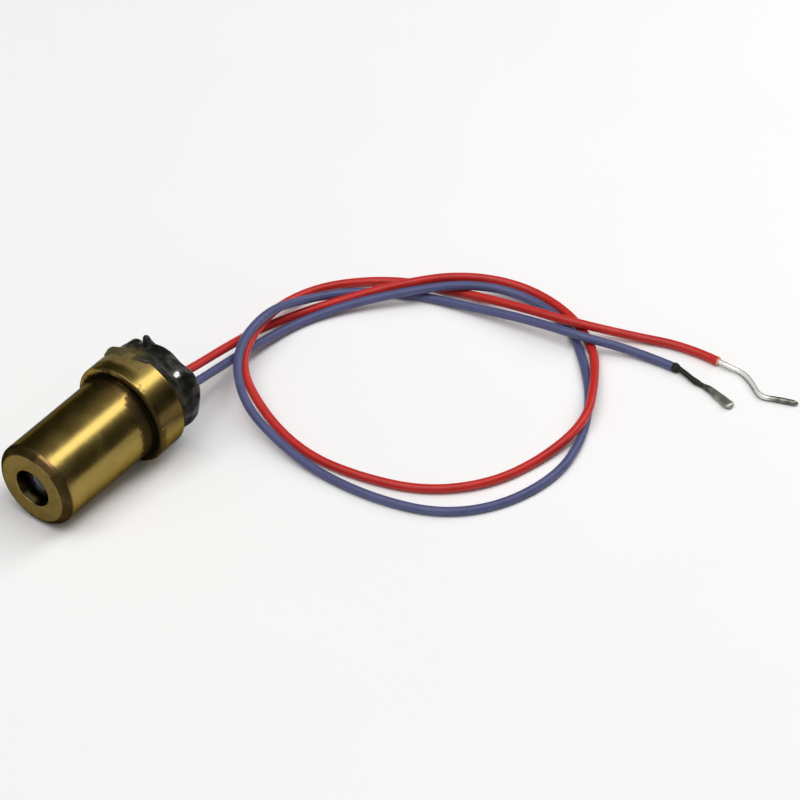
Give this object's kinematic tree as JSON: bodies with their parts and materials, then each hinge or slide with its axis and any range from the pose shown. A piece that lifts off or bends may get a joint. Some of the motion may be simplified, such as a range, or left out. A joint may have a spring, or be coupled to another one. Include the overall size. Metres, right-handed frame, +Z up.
{
  "type": "laser diode module",
  "caption": "Small brass laser diode module: a stepped barrel with a front aperture and lens, a rear collar sealed with black epoxy, and a red and a blue lead with bare ends.",
  "frame": {"origin": "on the surface that the module lies on, below the middle of the module without its leads", "axes": "+Z up; the beam leaves along -Y, pointing down by the tilt of 4.2 degrees at which the module rests; the leads run towards +Y and +X"},
  "size_m": [0.0345, 0.0411, 0.0079],
  "materials": {
    "turned_brass": "satin turned brass, a little tarnished at the rear",
    "lens_acrylic": "clear moulded acrylic",
    "spacer_plastic": "matt black",
    "gold_plate": "thin gold plate on steel",
    "can_metal": "plain nickel-plated steel",
    "window_glass": "clear",
    "submount_ceramic": "fine ceramic",
    "semiconductor": "polished wafer",
    "seal_glass": "fused glass bead",
    "board_laminate": "solder mask on glass-fibre laminate",
    "resistor_ceramic": "glazed ceramic",
    "capacitor_ceramic": "fired ceramic",
    "solder_tin": "bright solder",
    "transistor_moulding": "moulded epoxy",
    "black_epoxy": "glossy, lumpy poured epoxy",
    "red_insulation": "smooth extruded insulation",
    "blue_insulation": "smooth extruded insulation",
    "bright_tinned_copper": "bright tinned strands",
    "dull_tinned_copper": "dull, scorched tinned strands"
  },
  "bodies": {
    "root": {"housing": "turned_brass", "collimating_lens": "lens_acrylic", "lens_spacer": "spacer_plastic", "diode_stem": "gold_plate", "diode_cap": "can_metal", "diode_window": "window_glass", "submount": "submount_ceramic", "laser_chip": "semiconductor", "monitor_photodiode": "semiconductor", "diode_pins": "gold_plate", "pin_seals": "seal_glass", "driver_board": "board_laminate", "series_resistor": "resistor_ceramic", "sense_resistor": "resistor_ceramic", "filter_capacitor": "capacitor_ceramic", "chip_end_caps": "solder_tin", "driver_transistor": "transistor_moulding", "transistor_legs": "solder_tin", "pin_joints": "solder_tin", "wire_joints": "solder_tin", "potting": "black_epoxy", "red_lead": "red_insulation", "blue_lead": "blue_insulation", "red_bare_end": "bright_tinned_copper", "blue_bare_end": "dull_tinned_copper"}
  },
  "joints": []
}
